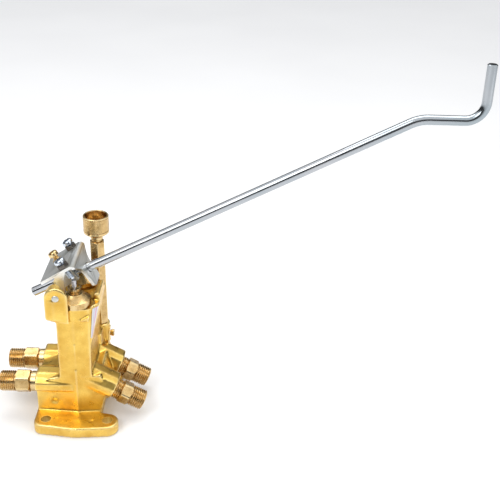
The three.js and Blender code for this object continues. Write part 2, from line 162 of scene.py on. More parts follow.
def turned(rows, sides=48, ring=False):
    """A body round Z from rows of (height, radius); a radius may be a function of angle and height."""
    points, rings, faces = [], [], []
    for height, radius in rows:
        if radius == 0:
            rings.append([len(points)])
            points.append((0, 0, height))
            continue
        rings.append(list(range(len(points), len(points) + sides)))
        for i in range(sides):
            angle = math.tau * i / sides
            r = radius(angle, height) if callable(radius) else radius
            points.append((r * math.cos(angle), r * math.sin(angle), height))
    pairs = list(zip(rings, rings[1:]))
    if ring:
        pairs.append((rings[-1], rings[0]))
    for low, high in pairs:
        for i in range(sides):
            j = (i + 1) % sides
            if len(low) == 1:
                faces.append((low[0], high[j], high[i]))
            elif len(high) == 1:
                faces.append((low[i], low[j], high[0]))
            else:
                faces.append((low[i], low[j], high[j], high[i]))
    return Shape(points, faces)


def bar(radius, length, sides=48):
    """A round bar from the origin up along Z."""
    return turned([(0, 0), (0, radius), (length, radius), (length, 0)], sides)


def ball(radius, steps=12):
    angles = [math.pi * i / steps for i in range(1, steps)]
    rows = [(-radius * math.cos(a), radius * math.sin(a)) for a in angles]
    return turned([(-radius, 0)] + rows + [(radius, 0)], 32)


def prism(outline, low, high, across=False):
    """An outline in X and Y raised along Z or, across, an outline in X and Z drawn along Y."""
    n = len(outline)
    if across:
        outline = outline[::-1]
        points = [(x, low, z) for x, z in outline] + [(x, high, z) for x, z in outline]
    else:
        points = [(x, y, low) for x, y in outline] + [(x, y, high) for x, y in outline]
    faces = [list(range(n))[::-1], list(range(n, 2 * n))]
    faces += [(i, (i + 1) % n, n + (i + 1) % n, n + i) for i in range(n)]
    return Shape(points, faces)


def on_side(outline, side, near, far):
    """An outline in X and Z drawn between two distances from the middle plane, on one side of it."""
    low, high = sorted((side * near, side * far))
    return prism(outline, low, high, across=True)


def arc(x, y, radius, start, end, steps=10):
    """Points of an arc round (x, y), its angles in degrees."""
    angles = [math.radians(start + (end - start) * i / steps) for i in range(steps + 1)]
    return [(x + radius * math.cos(a), y + radius * math.sin(a)) for a in angles]


def cuboid(x, y, z):
    """A box of these sizes with its middle at the origin."""
    return prism([(-x / 2, -y / 2), (x / 2, -y / 2), (x / 2, y / 2), (-x / 2, y / 2)], -z / 2, z / 2)


def hexagon(across_flats):
    """The radius of a hexagon, its corners on local X, for turned()."""
    def radius(angle, height):
        return across_flats / 2 / math.cos((angle % (math.pi / 3)) - math.pi / 6)
    return radius


def hex_rows(low, high, across_flats, chamfer=0.55):
    """Rows of a hexagonal length whose corners are cut back by a cone at its ends."""
    flat = hexagon(across_flats)
    end_radius = across_flats / 2 * 0.985
    slope = math.tan(math.radians(60))

    def cut_back(depth):
        def radius(angle, height):
            return min(flat(angle, height), end_radius + depth * slope)
        return radius
    steps = [chamfer * i / 4 for i in range(5)]
    rows = [(low + d, cut_back(d)) for d in steps]
    return rows + [(high - d, cut_back(d)) for d in reversed(steps)]


def thread_rows(low, high, radius, pitch, depth, per_turn=8, lead=0.0):
    """Rows of a helical thread, tapered off at its far end over the lead length."""
    count = max(2, round((high - low) / pitch * per_turn))
    crest, flank = 0.15, 0.7  # shares of half a turn
    run_out = depth * 1.05    # the end is turned down to just under the thread's root

    def at(angle, height):
        phase = (height / pitch - angle / math.tau) % 1
        valley = min(1, max(0, (abs(phase - 0.5) * 2 - crest) / flank))
        end = 1 if lead == 0 else min(1, (high - height) / lead + 0.25)
        return min(radius - depth * valley, radius - run_out + run_out * end)
    return [(low + (high - low) * i / count, at) for i in range(count + 1)]


def make(name, shape):
    """A scene object in metres, its faces turned outwards."""
    mesh = bpy.data.meshes.new(name)
    mesh.from_pydata([p * MM for p in shape.points], [], shape.faces)
    tidy = bmesh.new()
    tidy.from_mesh(mesh)
    bmesh.ops.recalc_face_normals(tidy, faces=tidy.faces)
    tidy.to_mesh(mesh)
    tidy.free()
    obj = bpy.data.objects.new(name, mesh)
    bpy.context.scene.collection.objects.link(obj)
    return obj


def flat_faces(obj):
    """Keeps large flat faces evenly lit beside small rounded ones."""
    even = obj.modifiers.new("even", "WEIGHTED_NORMAL")
    even.keep_sharp = True
    apply_modifiers(obj)


def apply_modifiers(obj):
    """Replaces an object's mesh by what its modifiers make of it."""
    graph = bpy.context.evaluated_depsgraph_get()
    graph.update()
    baked = bpy.data.meshes.new_from_object(obj.evaluated_get(graph))
    obj.modifiers.clear()
    old = obj.data
    obj.data = baked
    bpy.data.meshes.remove(old)
    baked.name = obj.name


def cut(obj, shape, operation="DIFFERENCE", solver="EXACT"):
    """Takes a shape away from an object, or joins it or keeps what they share."""
    tool = make("cutting_tool", shape)
    change = obj.modifiers.new("cut", "BOOLEAN")
    change.operation = operation
    change.solver = solver
    change.object = tool
    apply_modifiers(obj)
    bpy.data.objects.remove(tool)


def melt(obj, voxel, rounds):
    """Joins overlapping solids into one skin and rounds its edges, as a casting's are."""
    skin = obj.modifiers.new("skin", "REMESH")
    skin.mode = "VOXEL"
    skin.voxel_size = voxel * MM
    soft = obj.modifiers.new("soft", "SMOOTH")
    soft.factor = 0.5
    soft.iterations = rounds
    apply_modifiers(obj)


def bevelled(obj, width, segments=2, angle=35):
    edge = obj.modifiers.new("edge", "BEVEL")
    edge.width = width * MM
    edge.segments = segments
    edge.limit_method = "ANGLE"
    edge.angle_limit = math.radians(angle)
    apply_modifiers(obj)


def done(obj, body, node, material, sharp=35):
    """Gives a finished piece its shading, its material and its body, and hides the CAD node it stands for."""
    mesh = obj.data
    mesh.materials.clear()
    mesh.materials.append(material)
    for face in mesh.polygons:
        face.material_index = 0
        face.use_smooth = True
    mesh.set_sharp_from_angle(angle=math.radians(sharp))
    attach(obj, body)
    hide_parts(node)


def piece(node, shape, material):
    """A piece that needs no cutting: its node's replacement, on its node's body."""
    done(make(node + "_fine", shape), BODY_OF[node], node, material)


# ---------- materials ----------
class Paint:
    """A small helper round one procedural material."""

    def __init__(self, name, metallic, roughness):
        self.material = bpy.data.materials.new(name)
        self.material.use_nodes = True
        self.nodes = self.material.node_tree.nodes
        self.links = self.material.node_tree.links
        self.shader = self.nodes["Principled BSDF"]
        self.shader.inputs["Metallic"].default_value = metallic
        self.shader.inputs["Roughness"].default_value = roughness
        self.place = self.nodes.new("ShaderNodeTexCoord").outputs["Object"]

    def noise(self, size, detail=3.0, stretch=(1, 1, 1)):
        """Noise whose features are about size millimetres across."""
        mapping = self.nodes.new("ShaderNodeMapping")
        mapping.inputs["Scale"].default_value = stretch
        self.links.new(self.place, mapping.inputs["Vector"])
        texture = self.nodes.new("ShaderNodeTexNoise")
        texture.inputs["Scale"].default_value = 1 / (size * MM)
        texture.inputs["Detail"].default_value = detail
        texture.inputs["Roughness"].default_value = 0.55
        self.links.new(mapping.outputs["Vector"], texture.inputs["Vector"])
        return texture.outputs["Fac"]

    def ramp(self, value, stops):
        """A colour for each value, from stops of (value, colour)."""
        ramp = self.nodes.new("ShaderNodeValToRGB")
        elements = ramp.color_ramp.elements
        while len(elements) < len(stops):
            elements.new(0.5)
        for element, (place, colour) in zip(elements, stops):
            element.position = place
            element.color = (*colour, 1)
        self.links.new(value, ramp.inputs["Fac"])
        return ramp.outputs["Color"]

    def mix(self, factor, a, b):
        """Colour a where the factor is 0 and b where it is 1. Each colour is a value or a node's output."""
        node = self.nodes.new("ShaderNodeMix")
        node.data_type = "RGBA"
        colour_a, colour_b, result = node.inputs[6], node.inputs[7], node.outputs[2]
        self.links.new(factor, node.inputs["Factor"])
        for socket, value in ((colour_a, a), (colour_b, b)):
            if isinstance(value, tuple):
                socket.default_value = (*value, 1)
            else:
                self.links.new(value, socket)
        return result

    def span(self, value, low, high, from_low=0.3, from_high=0.7):
        """Maps the range from_low to from_high onto low to high, and no further."""
        node = self.nodes.new("ShaderNodeMapRange")
        node.inputs["From Min"].default_value = from_low
        node.inputs["From Max"].default_value = from_high
        node.inputs["To Min"].default_value = low
        node.inputs["To Max"].default_value = high
        self.links.new(value, node.inputs["Value"])
        return node.outputs["Result"]

    def paler_edges(self, low=0.5, high=0.58):
        """1 on outer edges, where the colour is made paler, and 0 on flats."""
        geometry = self.nodes.new("ShaderNodeNewGeometry")
        return self.span(geometry.outputs["Pointiness"], 0, 1, low, high)

    def bump(self, value, height, strength=1.0, below=None):
        """Raises the surface by up to height millimetres, over another bump where one is given."""
        node = self.nodes.new("ShaderNodeBump")
        node.inputs["Distance"].default_value = height * MM
        node.inputs["Strength"].default_value = strength
        self.links.new(value, node.inputs["Height"])
        if below is not None:
            self.links.new(below, node.inputs["Normal"])
        self.links.new(node.outputs["Normal"], self.shader.inputs["Normal"])
        return node.outputs["Normal"]

    def to(self, socket, value):
        """Feeds one of the shader's inputs."""
        self.links.new(value, self.shader.inputs[socket])


def cast_brass():
    p = Paint("cast_brass", 1.0, 0.3)
    deep, pale, dull, edge_tint = (0.72, 0.43, 0.08), (0.91, 0.63, 0.15), (0.60, 0.36, 0.07), (1.0, 0.86, 0.46)
    patches = p.ramp(p.noise(14, 2), [(0.35, deep), (0.65, pale)])
    grain = p.noise(0.9, 4)
    colour = p.mix(p.span(grain, 0, 0.35), patches, dull)
    # a paler colour on the outer edges
    colour = p.mix(p.paler_edges(), colour, edge_tint)
    p.to("Base Color", colour)
    p.to("Roughness", p.span(p.noise(5, 3), 0.24, 0.42))
    broad = p.bump(p.noise(7, 2), 0.35, 0.8)
    p.bump(grain, 0.06, 0.5, broad)
    return p.material


def turned_brass():
    p = Paint("turned_brass", 1.0, 0.26)
    deep, pale, brown, edge_tint = (0.50, 0.32, 0.12), (0.72, 0.51, 0.24), (0.34, 0.22, 0.09), (0.88, 0.70, 0.38)
    tone = p.ramp(p.noise(6, 3), [(0.3, deep), (0.7, pale)])
    tarnish = p.span(p.noise(4, 3), 0, 0.4, 0.5, 0.75)
    colour = p.mix(tarnish, tone, brown)
    # a paler colour on the outer edges
    colour = p.mix(p.paler_edges(0.51, 0.62), colour, edge_tint)
    p.to("Base Color", colour)
    p.to("Roughness", p.span(p.noise(4, 3), 0.2, 0.32))
    p.bump(p.noise(0.8, 2), 0.01, 0.25)
    return p.material


def zinc_sheet():
    p = Paint("zinc_sheet", 1.0, 0.38)
    green_grey, pale_grey, straw = (0.44, 0.46, 0.42), (0.56, 0.57, 0.53), (0.62, 0.60, 0.50)
    tone = p.ramp(p.noise(5, 4), [(0.3, green_grey), (0.55, pale_grey), (0.75, straw)])
    # a paler colour on the outer edges
    colour = p.mix(p.paler_edges(0.51, 0.6), tone, (0.85, 0.86, 0.84))
    p.to("Base Color", colour)
    scratch = p.noise(0.5, 4, (0.15, 1, 1))
    p.to("Roughness", p.span(scratch, 0.3, 0.5))
    p.bump(scratch, 0.015, 0.5)
    return p.material


# Zinc painted nearly black: painted shade for the lock nuts, which sit in shadow under the screw heads.
def shade_painted_zinc():
    p = Paint("shade_painted_zinc", 1.0, 0.4)
    p.to("Base Color", p.ramp(p.noise(2, 3), [(0.3, (0.10, 0.09, 0.08)), (0.7, (0.22, 0.20, 0.18))]))
    grain = p.noise(0.7, 3)
    p.to("Roughness", p.span(grain, 0.3, 0.5))
    p.bump(grain, 0.01, 0.3)
    return p.material


def blue_zinc():
    p = Paint("blue_zinc", 1.0, 0.24)
    tone = p.ramp(p.noise(1.8, 3), [(0.35, (0.36, 0.44, 0.56)), (0.65, (0.66, 0.72, 0.80))])
    # a paler colour on the outer edges
    p.to("Base Color", p.mix(p.paler_edges(0.51, 0.62), tone, (0.86, 0.90, 0.94)))
    p.to("Roughness", p.span(p.noise(1.2, 3), 0.18, 0.34))
    p.bump(p.noise(0.4, 3), 0.015, 0.4)
    return p.material


def bright_rod():
    p = Paint("bright_rod", 1.0, 0.12)
    tone = p.ramp(p.noise(9, 2, (0.12, 1, 0.2)), [(0.35, (0.36, 0.41, 0.44)), (0.65, (0.54, 0.54, 0.56))])
    p.to("Base Color", tone)
    drawn = p.noise(0.35, 3, (0.03, 1, 0.06))
    p.to("Roughness", p.span(drawn, 0.1, 0.2))
    p.bump(drawn, 0.006, 0.3)
    return p.material


def plain_steel():
    p = Paint("plain_steel", 1.0, 0.3)
    p.to("Base Color", p.ramp(p.noise(2, 3), [(0.3, (0.50, 0.50, 0.52)), (0.7, (0.66, 0.66, 0.67))]))
    rings = p.noise(0.4, 3, (0.2, 0.2, 1))
    p.to("Roughness", p.span(rings, 0.22, 0.4))
    p.bump(rings, 0.01, 0.4)
    return p.material


def seal(name, dark, light, roughness):
    p = Paint(name, 0.0, roughness)
    p.to("Base Color", p.ramp(p.noise(0.8, 3), [(0.3, dark), (0.7, light)]))
    p.bump(p.noise(0.3, 3), 0.02, 0.4)
    return p.material


def striped_label():
    p = Paint("striped_label", 0.0, 0.35)
    parts = p.nodes.new("ShaderNodeSeparateXYZ")
    generated = p.nodes.new("ShaderNodeTexCoord").outputs["Generated"]
    p.links.new(generated, parts.inputs["Vector"])
    # the stripes close up towards the strip's narrow lower end
    narrow = p.span(parts.outputs["Z"], 0.2, 1, 0, 1)
    across = p.nodes.new("ShaderNodeMath")
    across.operation = "DIVIDE"
    p.links.new(parts.outputs["X"], across.inputs[0])
    p.links.new(narrow, across.inputs[1])
    white, lilac, pink = (0.86, 0.86, 0.88), (0.50, 0.50, 0.66), (0.72, 0.32, 0.50)
    stops = [(0.0, white), (0.48, white), (0.56, lilac), (0.64, white), (0.76, pink), (0.9, white)]
    bands = p.ramp(across.outputs[0], stops)
    p.to("Base Color", p.mix(p.span(p.noise(0.7, 3), 0, 0.25), bands, (0.7, 0.68, 0.72)))
    p.shader.inputs["Coat Weight"].default_value = 0.4
    p.to("Roughness", p.span(p.noise(2, 2), 0.28, 0.42))
    p.bump(p.noise(0.6, 3), 0.01, 0.3)
    return p.material


CAST, BRASS, SHEET = cast_brass(), turned_brass(), zinc_sheet()
BLUE, ROD, STEEL = blue_zinc(), bright_rod(), plain_steel()
SHADE_PAINTED_ZINC = shade_painted_zinc()
RUBBER = seal("seal_rubber", (0.012, 0.012, 0.012), (0.03, 0.03, 0.03), 0.7)
PTFE = seal("seal_plastic", (0.78, 0.77, 0.73), (0.88, 0.87, 0.84), 0.45)
LABEL = striped_label()


# ---------- the casting ----------
FLANGE_THICK = 7.6
FLANGE_HALF_X = -BODY_LOW.x
FLANGE_APEX = BODY_HIGH.y
BODY_TOP = 88.3
HEAD_TOP = BODY_TOP + 0.8  # the rim left standing round the glands' spot-faces
RIGHT_WALL = 15.2
BLOCK_LEFT, BLOCK_RIGHT, BLOCK_HALF_Y, BLOCK_APEX = -28.5, 20.5, 22.2, 24.4
PILLAR_LEFT, PILLAR_RIGHT, PILLAR_HALF_Y, PILLAR_APEX = -11.6, 10.4, 21.4, 23
HEAD_LEFT, HEAD_RIGHT, HEAD_CORNER_Y = -12.8, 16.6, 14
EAR_R, EAR_INNER, EAR_OUTER = 7.6, 19, 27.4
FLANGE_HOLE = Vector((21, 33, 0))


def flange_outline():
    corner, lobe = 6, 8.3  # the radii of its left corners and of its right lobes
    front = [(-FLANGE_HALF_X, 0)]
    front += arc(-FLANGE_HALF_X + corner, -34.4, corner, 180, 270)
    front += [(-2, -FLANGE_APEX), (2, -FLANGE_APEX)]
    front += arc(20.2, -33.4, lobe, -90, 90, 16)
    front += [(RIGHT_WALL, -24), (RIGHT_WALL, 0)]
    rear = [(x, -y) for x, y in front[::-1] if y != 0]
    return front + rear


def walls(side_outline, front):
    """A block kept inside its side outline and its plan; front is the plan's front half, left to right."""
    deep = max(-y for _, y in front)
    block = make("block", prism(side_outline, -deep, deep, across=True))
    plan = front + [(x, -y) for x, y in reversed(front)]
    cut(block, prism(plan, -1, 120), "INTERSECT")
    shape = Shape([v.co / MM for v in block.data.vertices], [f.vertices for f in block.data.polygons])
    bpy.data.objects.remove(block)
    return shape


def lower_block():
    side = [(BLOCK_LEFT, 1), (RIGHT_WALL, 1), (RIGHT_WALL, 6), (BLOCK_RIGHT, 26), (16, 37), (-10, 36),
            (BLOCK_LEFT, 31)]
    return walls(side, [(BLOCK_LEFT, -BLOCK_HALF_Y), (0, -BLOCK_APEX), (BLOCK_RIGHT, -BLOCK_HALF_Y)])


def pillar():
    """The upright part and the wider head at its top, whose right corners are cut back in plan."""
    side = [(PILLAR_LEFT, 20), (PILLAR_RIGHT, 20), (PILLAR_RIGHT, 58), (HEAD_RIGHT, HEAD_TOP),
            (HEAD_LEFT, HEAD_TOP), (HEAD_LEFT, 80), (PILLAR_LEFT, 76)]
    front = [(HEAD_LEFT, -PILLAR_HALF_Y), (0, -PILLAR_APEX), (PILLAR_RIGHT, -PILLAR_HALF_Y),
             (HEAD_RIGHT, -HEAD_CORNER_Y)]
    return walls(side, front)


def leaning_wall():
    """The pillar's lower part, whose front and rear walls lean out until they meet the block's."""
    points = []
    for z, half_y, apex_y in ((36, 23.6, 24.5), (78, PILLAR_HALF_Y, PILLAR_APEX)):
        points += [(PILLAR_LEFT, -half_y, z), (0, -apex_y, z), (PILLAR_RIGHT, -half_y, z)]
        points += [(PILLAR_RIGHT, half_y, z), (0, apex_y, z), (PILLAR_LEFT, half_y, z)]
    around = [(i, (i + 1) % 6, (i + 1) % 6 + 6, i + 6) for i in range(6)]
    return Shape(points, [list(range(6))[::-1], list(range(6, 12))] + around)


def stop_lip():
    """The upright lip at the head's right."""
    side = [(12.6, 80), (14, 80), (16.2, BODY_TOP), (16.2, 94), (12.6, 94)]
    return prism(side, -10, 10, across=True)


def gland_ledge():
    """The small ledge under the front gland."""
    return prism([(4.6, 80.2), (10.2, 79.8), (11.2, 83.8)], -23.4, -20, across=True)


def pilot_boss():
    """The boss that carries the pilot tube, and the two webs beside it."""
    return together([
        bar(6.2, 16.6).moved(PILOT.x, PILOT.y, 33),
        prism([(15.6, 38), (16.4, 38), (18.2, 52), (17.2, 52)], 16, 20, across=True),
        prism([(4, 36), (12, 34), (12, 48), (4, 48)], 12, 27, across=True),
    ])


def ear(side):
    """One of the ears the lever turns in, with the low ridge on its outer face."""
    left, right = PIVOT.x - EAR_R, PIVOT.x + EAR_R
    outline = [(left, 83), (PIVOT.x, 81), (right, 80)]
    outline += arc(PIVOT.x, PIVOT.z - 0.4, EAR_R, 0, 180, 16)
    ridge = [(left, 27.2), (PIVOT.x - 1.6, 28.2), (right, 27.2), (right, 26), (left, 26)]
    return on_side(outline, side, EAR_INNER, EAR_OUTER) + prism([(x, side * y) for x, y in ridge], 83, 97.5)


def boss(section, long):
    """A hose boss along Z; its section is (height over or below the axis, distance to the side)."""
    return prism(section + [(x, -y) for x, y in reversed(section)], 0, long)


def inlet_boss(side):
    section, long = [(-8.8, 5.6), (-3.2, 8), (-1.6, 10.7), (3.4, 10.5), (6.8, 7.6), (8.7, 4.2)], 26
    inner = (INLET_FACE_X + long, side * VALVE_Y, INLET_Z + 1.2)
    return boss(section, long).placed(pointing(-X, inner))


def outlet_boss(side):
    section, long = [(-10.3, 3.6), (-8.2, 7.4), (-3.2, 9.9), (1.4, 9.9), (4, 7.2), (7.6, 4.6)], 22
    face = OUTLET_FACE + Y * side * VALVE_Y
    return boss(section, long).placed(pointing(OUTLET_WAY, face - OUTLET_WAY * long))


def flash_line(side, low, high, near, far):
    """A length of the thin line where the two halves of the mould met."""
    half = 0.5
    return on_side([(-half, low), (half, low), (half, high), (-half, high)], side, near, far)


def rough_casting():
    shapes = [prism(flange_outline(), 0, FLANGE_THICK), lower_block(), pillar(), leaning_wall(),
              stop_lip(), gland_ledge(), pilot_boss()]
    for _, side in SIDES:
        shapes += [inlet_boss(side), outlet_boss(side), ear(side)]
        shapes += [flash_line(side, 8, 42, 22, 24.8), flash_line(side, 40, 62, 21, 24)]
    return together(shapes)


def valve_bore():
    """From its floor up: the chamber, the gland's hole, and the flat that is spot-faced round it."""
    chamber, gland, face = 5, 7.5, 12.1
    bottom, step, above = 28.2, 78, 120
    rows = [(bottom, 0), (bottom, chamber), (step, chamber), (step, gland), (BODY_TOP, gland),
            (BODY_TOP, face), (above, face), (above, 0)]
    return turned(rows, 64)


def casting_cuts():
    shapes = []
    for _, side in SIDES:
        y = side * VALVE_Y
        outlet = OUTLET_FACE + Y * y
        fitting_hole, hole_depth = bar(6.5, STUB + 1), STUB + 0.5
        shapes.append(valve_bore().moved(VALVE_X, y))
        shapes.append(fitting_hole.placed(pointing(-X, (INLET_FACE_X + hole_depth, y, INLET_Z))))
        shapes.append(fitting_hole.placed(pointing(OUTLET_WAY, outlet - OUTLET_WAY * hole_depth)))
        for end in (-1, 1):
            shapes.append(bar(3.5, 12).moved(end * FLANGE_HOLE.x, side * FLANGE_HOLE.y, -2))
    # shallow dimples left in the casting by its mould
    for x, y, z, r in ((-16.5, -29.6, 15.5, 7), (9.8, -34.5, FLANGE_THICK + 5.6, 6)):
        shapes.append(ball(r).moved(x, y, z))
    return shapes


def casting():
    body = make("valve_body_fine", rough_casting())
    melt(body, 0.6, 8)
    cut(body, together(casting_cuts()), solver="MANIFOLD")
    done(body, "casting", "valve_body", CAST, 50)


# ---------- hose fittings ----------
HOSE_R, HOSE_PITCH = 7.14, 1.41  # the 9/16-18 thread
FITTING_TURN = math.radians(75)  # where the hexagons' corners stand


def nipple(collar, hexagon_long, thread, threaded_root=False):
    """Along its axis from the boss's face: stub, collar or threaded root, hexagon, hose thread, cone seat."""
    bore, body = 2, 6.2
    hexagon_end = collar + hexagon_long
    end = hexagon_end + thread
    rows = [(-8.5, bore), (-8.5, body), (0.3, body)]
    if threaded_root:
        rows += thread_rows(0.3, collar - 0.6, 6.95, HOSE_PITCH, 0.6)
    else:
        rows += [(0.3, 6.8), (0.5, 7), (collar - 1, 7), (collar - 0.8, 6.4)]
    rows += [(collar, body)] + hex_rows(collar, hexagon_end, 14.3)
    rows += [(hexagon_end, 6.25), (hexagon_end + 0.5, 6.25)]
    rows += thread_rows(hexagon_end + 0.5, end - 0.15, HOSE_R, HOSE_PITCH, 0.75, lead=0.9)
    rows += [(end, body), (end, 4.6), (end - 2.6, bore)]
    return turned(rows, 96, ring=True)


def hose_fittings():
    for place, side in SIDES:
        inlet = pointing(-X, (INLET_FACE_X, side * VALVE_Y, INLET_Z), FITTING_TURN)
        piece(f"inlet_nipple_{place}", nipple(4.9, 9.7, 11).placed(inlet), BRASS)
        outlet = pointing(OUTLET_WAY, OUTLET_FACE + Y * side * VALVE_Y, FITTING_TURN)
        piece(f"outlet_nipple_{place}", nipple(5.2, 7.3, 10.4, True).placed(outlet), BRASS)


# ---------- the valves ----------
STEM_HOLE = 1.9  # the radius of the hole in the gland nut and in the packing screw


def gland_nut():
    """Root, hexagon and domed top, hollow above for the packing screw."""
    low, seat, hexagon_end, top = 79.7, 88.6, 93, 97
    root, hollow, hollow_floor = 7.2, 4.6, 89.2
    rows = [(low, STEM_HOLE), (low, root), (seat, root)]
    rows += hex_rows(seat, hexagon_end, 20, chamfer=0.4)
    rows += [(hexagon_end + 0.1, 9.6), (top - 0.3, 5.7), (top, 5.3), (top, hollow), (hollow_floor, hollow),
             (hollow_floor, STEM_HOLE)]
    return turned(rows, 96, ring=True)


def packing_screw():
    """A shank inside the gland nut and a flared head with a hollow top."""
    low, hollow_floor = 92.9, 99.4
    rows = [(low, STEM_HOLE), (low, 4.25), (97.3, 4.25), (97.4, 3.4), (98.6, 3.5), (101, 4.6), (101.2, 4.45),
            (101.2, 4.0), (100.4, 3.1), (hollow_floor, 2.3), (hollow_floor, STEM_HOLE)]
    return turned(rows, 64, ring=True)


def valve_stem():
    """A thicker lower end, a collar, and the thin length that comes up through the gland."""
    low, collar, tip = 34.9, 43.9, box("valve_stem_front")[1].z
    thick, thin = 2.4, 1.6
    rows = [(low, 0), (low, thick - 0.2), (low + 0.2, thick), (collar, thick), (collar, 4.7), (45.4, 4.7),
            (46.4, thin), (102, thin), (102.2, 1.5), (tip - 0.2, 1.5), (tip, 1.3), (tip, 0)]
    return turned(rows, 40)


def valves():
    for place, side in SIDES:
        at = Matrix.Translation((VALVE_X, side * VALVE_Y, 0))
        corners = Matrix.Rotation(math.radians(30), 4, "Z")
        piece(f"gland_nut_{place}", gland_nut().placed(at @ corners), BRASS)
        screw = make(f"packing_screw_{place}_fine", packing_screw().placed(at))
        cut(screw, cuboid(4.6, 12, 8).placed(at).moved(z=103.4))
        bevelled(screw, 0.15)
        done(screw, "casting", f"packing_screw_{place}", BRASS)
        piece(f"valve_stem_{place}", valve_stem().placed(at), STEEL)


# ---------- the lever's bracket ----------
RIDGE = CLAMP_AT - PLATE_WAY * 14.6  # where the outer faces of its two plates would meet
SHEET_THICK = 2.0
TOP_LONG, FRONT_LONG = 25.8, 24.2
PLATE_HALF_Y = box("lever_bracket")[1].y
BEND = 3.4
CHEEK_R = 4.9
BRACKET_PLACE = Matrix.Translation(RIDGE) @ Matrix((PLATE_WAY, Y, SCREW_WAY)).transposed().to_4x4()


def to_plate(x, z):
    """Object X and Z to distances along the top plate and down the front plate."""
    away = Vector((x, 0, z)) - RIDGE
    return away.dot(PLATE_WAY), away.dot(SCREW_WAY)


def bracket_profile():
    """The bent sheet's section: along the top plate, round the bend and down the front plate."""
    outer = [(TOP_LONG, 0)] + arc(BEND, BEND, BEND, 270, 180, 8) + [(0, FRONT_LONG)]
    inside = [(SHEET_THICK, FRONT_LONG)] + arc(BEND, BEND, BEND - SHEET_THICK, 180, 270, 4)
    return outer + inside + [(TOP_LONG, SHEET_THICK)]


def front_taper(side):
    """What is cut away beside the front plate, so that it narrows towards its foot."""
    beyond = PLATE_HALF_Y + 1
    edge = [(-1, beyond), (3.2, beyond), (3.4, 17.4), (5.5, 14.2), (8, 11), (11, 9.2), (15, 8.6), (22.6, 8.4),
            (23.7, 7.7), (FRONT_LONG, 6.6), (26, 6.6), (26, beyond)]
    # the edge is drawn down the front plate and along Y, so its plane is turned onto that plate's
    onto_plate = Matrix(((0, 0, 1), (0, 1, 0), (1, 0, 0))).to_4x4()
    return prism([(down, side * y) for down, y in edge], -2, SHEET_THICK + 0.8).placed(onto_plate)


def cheek():
    """The side plate that hangs from the top plate and ends in a round eye for the pin."""
    outline = [to_plate(PIVOT.x - CHEEK_R, PIVOT.z + 1)]
    outline += [to_plate(x, z) for x, z in arc(PIVOT.x, PIVOT.z, CHEEK_R, 180, 360, 14)]
    return outline + [to_plate(PIVOT.x + CHEEK_R, PIVOT.z + 3), to_plate(-5, 108), (5.6, 0.4), (13.4, 0.4)]


def bracket():
    """Modelled square to its own plates, local X along the top plate and local Z down, then put in place."""
    local = BRACKET_PLACE.inverted()
    obj = make("lever_bracket_fine", prism(bracket_profile(), -PLATE_HALF_Y, PLATE_HALF_Y, across=True))
    for _, side in SIDES:
        cut(obj, front_taper(side))
        cut(obj, on_side(cheek(), side, PLATE_HALF_Y - SHEET_THICK, PLATE_HALF_Y), "UNION")
    cut(obj, bar(3.6, 26).placed(local @ pointing(ROD_WAY, on_rod(0))))
    clamp = local @ CLAMP_AT
    cut(obj, bar(2.3, 8).moved(clamp.x, clamp.y, -3))
    for name, _ in SIDES:
        screw = local @ joint_point(f"adjuster_{name}_turn")
        cut(obj, bar(2.2, 8).moved(screw.x, screw.y, -3))
    bevelled(obj, 0.35, 3, 40)
    obj.data.transform(Matrix.Scale(MM, 4) @ BRACKET_PLACE @ Matrix.Scale(1 / MM, 4))
    done(obj, "lever", "lever_bracket", SHEET, 40)
    flat_faces(obj)


# ---------- the lever's rod ----------
ROD_START_X = -29.9
LEVEL_Z = 217.1
UPRIGHT_X = ROD_HIGH.x - ROD_R
SLOPE_BEND, HOOK_BEND = 24, 12


def rod_path():
    """Points of the axis: up the slope, level, then upright, with two round bends."""
    bend_x = (LEVEL_Z - ROD_Z0) / math.tan(ROD_SLOPE)
    reach = SLOPE_BEND * math.tan(ROD_SLOPE / 2)
    bends = arc(bend_x + reach, LEVEL_Z - SLOPE_BEND, SLOPE_BEND, 90 + math.degrees(ROD_SLOPE), 90, 14)
    bends += arc(UPRIGHT_X - HOOK_BEND, LEVEL_Z + HOOK_BEND, HOOK_BEND, -90, 0, 20)
    return [on_rod(ROD_START_X)] + [Vector((x, 0, z)) for x, z in bends + [(UPRIGHT_X, ROD_HIGH.z)]]


def rod_shape(sides=48, chamfer=0.5):
    path = rod_path()
    start, end = (path[1] - path[0]).normalized(), (path[-1] - path[-2]).normalized()
    stations = [(path[0], start, ROD_R - chamfer), (path[0] + start * chamfer, start, ROD_R)]
    for before, here, after in zip(path, path[1:], path[2:]):
        way = ((here - before).normalized() + (after - here).normalized()).normalized()
        stations.append((here, way, ROD_R))
    stations += [(path[-1] - end * chamfer, end, ROD_R), (path[-1], end, ROD_R - chamfer)]
    angles = [math.tau * i / sides for i in range(sides)]
    points, faces = [], []
    for at, way, r in stations:
        up = Vector((-way.z, 0, way.x))
        points += [at + (up * math.cos(a) + Y * math.sin(a)) * r for a in angles]
    for k in range(len(stations) - 1):
        for i in range(sides):
            a, b = k * sides + i, k * sides + (i + 1) % sides
            faces.append((a, a + sides, b + sides, b))
    faces.append(list(range(sides)))
    faces.append(list(range(len(points) - sides, len(points)))[::-1])
    return Shape(points, faces)


# ---------- the lever's screws, nuts, block and pins ----------
SCREW_PITCH, SCREW_DEPTH = 0.8, 0.3


